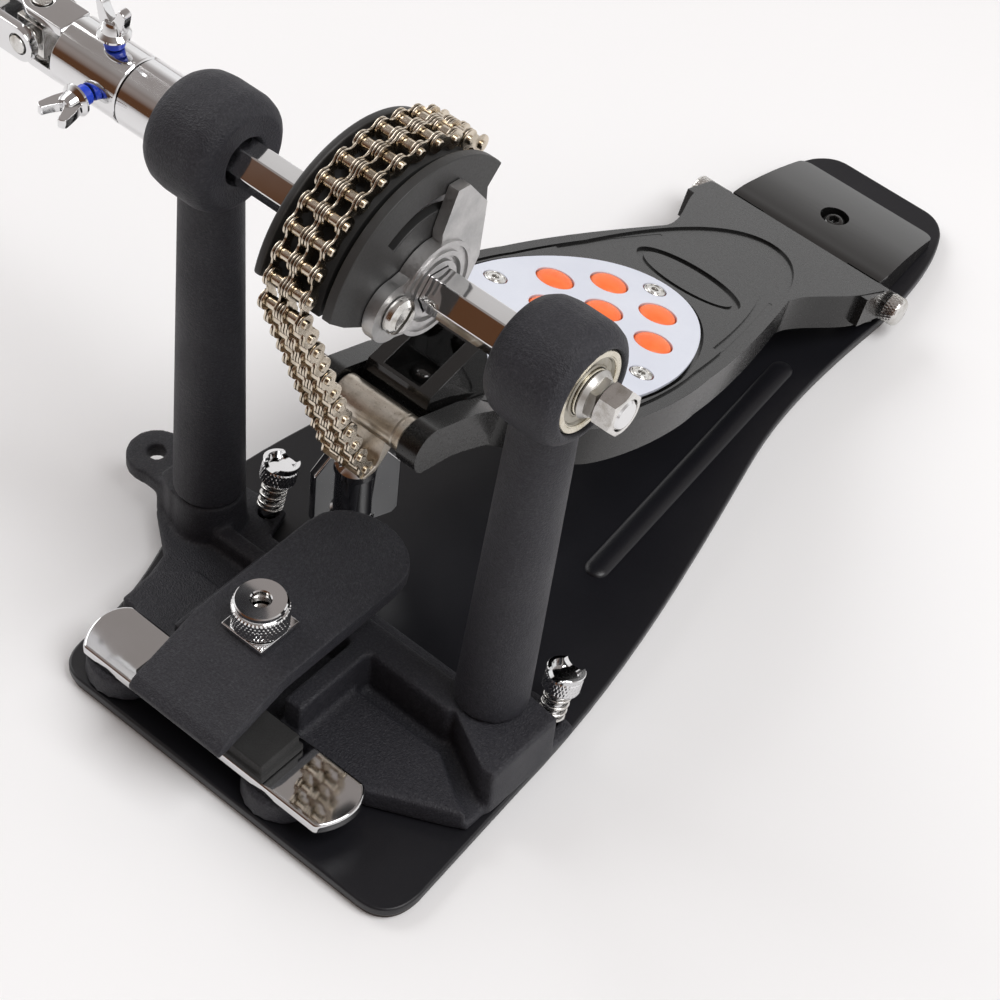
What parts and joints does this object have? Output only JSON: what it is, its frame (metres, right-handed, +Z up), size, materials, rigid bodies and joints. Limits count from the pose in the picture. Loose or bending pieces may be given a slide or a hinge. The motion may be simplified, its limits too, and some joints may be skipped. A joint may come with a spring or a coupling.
{
  "type": "bass drum pedal",
  "caption": "Left unit of a double bass drum pedal: chain and cam drive on a hex rocker shaft between two cast towers, hinged footboard, hoop clamp and drive-shaft joint.",
  "frame": {"origin": "on the underside of the base, straight below the rocker shaft and in the footboard's middle plane", "axes": "+X along the rocker shaft away from the drive shaft, +Y from the hoop clamp to the heel, +Z up"},
  "size_m": [0.2189, 0.3185, 0.179],
  "materials": {
    "casting": "textured charcoal powder coat",
    "plate": "satin black paint",
    "gloss": "gloss black paint",
    "rubber": "matt black rubber",
    "chrome": "polished chrome plate",
    "steel": "bright plated steel",
    "nickel": "warm nickel plate",
    "aluminium": "as-cast aluminium",
    "traction": "pale satin coating",
    "stud": "orange rubber",
    "nylon": "blue nylon"
  },
  "bodies": {
    "root": {"base_plate": "plate", "base_rubber_sheet": "rubber", "cross_casting": "casting", "left_tower": "casting", "right_tower": "casting", "left_bearing": "steel", "right_bearing": "steel", "left_spur_spring": "steel", "right_spur_spring": "steel", "hoop_bar": "chrome", "hoop_pad": "rubber", "clamp_stud": "steel", "heel_plate": "gloss", "heel_plate_screw": "plate"},
    "rocker": {"rocker_shaft": "chrome", "shaft_end_spacer": "chrome", "shaft_end_nut": "chrome", "cam_left_flange": "plate", "cam_right_flange": "plate", "cam_chain_pad": "rubber", "cam_hub": "aluminium", "cam_clamp_plate": "aluminium", "cam_screw": "steel", "chain_anchor": "aluminium", "chain_on_cam": "nickel", "chain_link_upper": "nickel", "shaft_collar": "chrome", "inner_yoke": "chrome", "upper_nylon_washer": "nylon", "front_nylon_washer": "nylon"},
    "chain_lower": {"chain_link_lower": "nickel"},
    "chain_hanging": {"chain_run": "nickel"},
    "board": {"footboard": "gloss", "grip_mat": "stud", "traction_plate": "traction", "traction_screw_1": "steel", "traction_screw_2": "steel", "traction_screw_3": "steel", "toe_block": "gloss", "toe_block_screw": "gloss", "cradle_bolt": "nickel"},
    "cradle": {"chain_cradle": "nickel"},
    "tongue": {"clamp_tongue": "casting", "clamp_washer": "chrome"},
    "nut": {"clamp_nut": "chrome"},
    "wing_bolt": {"clamp_wing_bolt": "chrome"},
    "left_spur_body": {"left_spur": "chrome"},
    "right_spur_body": {"right_spur": "chrome"},
    "left_pivot": {"left_pivot_screw": "steel"},
    "right_pivot": {"right_pivot_screw": "steel"},
    "cross": {"joint_cross": "steel"},
    "outer_joint": {"outer_yoke": "chrome"},
    "upper_wing": {"upper_wing_screw": "chrome"},
    "front_wing": {"front_wing_screw": "chrome"}
  },
  "joints": [
    {"name": "footboard_hinge", "type": "hinge", "parent": "root", "child": "board", "pos_m": [0, 0.1987, 0.0109], "axis": [1, 0, 0], "range_deg": [0, 7.2], "stiffness_Nm_per_rad": 3, "springref_deg": -20.05},
    {"name": "rocker_turn", "type": "hinge", "parent": "root", "child": "rocker", "pos_m": [0, 0, 0.1428], "axis": [1, 0, 0], "range_deg": [-0.5, 35.56]},
    {"name": "chain_lower_pin", "type": "hinge", "parent": "rocker", "child": "chain_lower", "pos_m": [0, -0.0316, 0.15362], "axis": [1, 0, 0], "range_deg": [-11.52, 0.5]},
    {"name": "chain_hanging_pin", "type": "hinge", "parent": "chain_lower", "child": "chain_hanging", "pos_m": [0, -0.03308, 0.14745], "axis": [1, 0, 0], "range_deg": [-33.12, 0.5]},
    {"name": "cradle_turn", "type": "hinge", "parent": "board", "child": "cradle", "pos_m": [0, 0.002, 0.0872], "axis": [1, 0, 0], "range_deg": [-16.63, 0.5]},
    {"name": "tongue_rock", "type": "hinge", "parent": "root", "child": "tongue", "pos_m": [0, -0.0384, 0.0366], "axis": [1, 0, 0], "range_deg": [0, 2]},
    {"name": "clamp_nut_turn", "type": "hinge", "parent": "root", "child": "nut", "pos_m": [0, -0.0384, 0.045], "axis": [0, 0, 1], "continuous": true},
    {"name": "wing_bolt_turn", "type": "hinge", "parent": "root", "child": "wing_bolt", "pos_m": [-0.019, 0.018, 0.03], "axis": [0, 0, 1], "continuous": true},
    {"name": "left_spur_travel", "type": "slide", "parent": "root", "child": "left_spur_body", "axis": [0, -0.2756, -0.9613], "range_m": [0, 0.0034]},
    {"name": "right_spur_travel", "type": "slide", "parent": "root", "child": "right_spur_body", "axis": [0, -0.2756, -0.9613], "range_m": [0, 0.0034]},
    {"name": "left_pivot_turn", "type": "hinge", "parent": "root", "child": "left_pivot", "pos_m": [-0.036, 0.1987, 0.0109], "axis": [1, 0, 0], "continuous": true},
    {"name": "right_pivot_turn", "type": "hinge", "parent": "root", "child": "right_pivot", "pos_m": [0.036, 0.1987, 0.0109], "axis": [1, 0, 0], "continuous": true},
    {"name": "joint_cross_turn", "type": "hinge", "parent": "rocker", "child": "cross", "pos_m": [-0.113, 0, 0.1428], "axis": [0, 0, 1], "range_deg": [-20, 20]},
    {"name": "outer_joint_turn", "type": "hinge", "parent": "cross", "child": "outer_joint", "pos_m": [-0.113, 0, 0.1428], "axis": [0, 1, 0], "range_deg": [-20, 20]},
    {"name": "upper_wing_turn", "type": "hinge", "parent": "rocker", "child": "upper_wing", "pos_m": [-0.088, 0, 0.1578], "axis": [0, 0, 1], "continuous": true},
    {"name": "front_wing_turn", "type": "hinge", "parent": "rocker", "child": "front_wing", "pos_m": [-0.088, -0.015, 0.1428], "axis": [0, 1, 0], "continuous": true}
  ],
  "couplings": [
    {"joint": "rocker_turn", "follows": "footboard_hinge", "ratio": 4.87},
    {"joint": "chain_lower_pin", "follows": "footboard_hinge", "ratio": -1.53},
    {"joint": "chain_hanging_pin", "follows": "footboard_hinge", "ratio": -4.53},
    {"joint": "cradle_turn", "follows": "footboard_hinge", "ratio": -2.24}
  ]
}
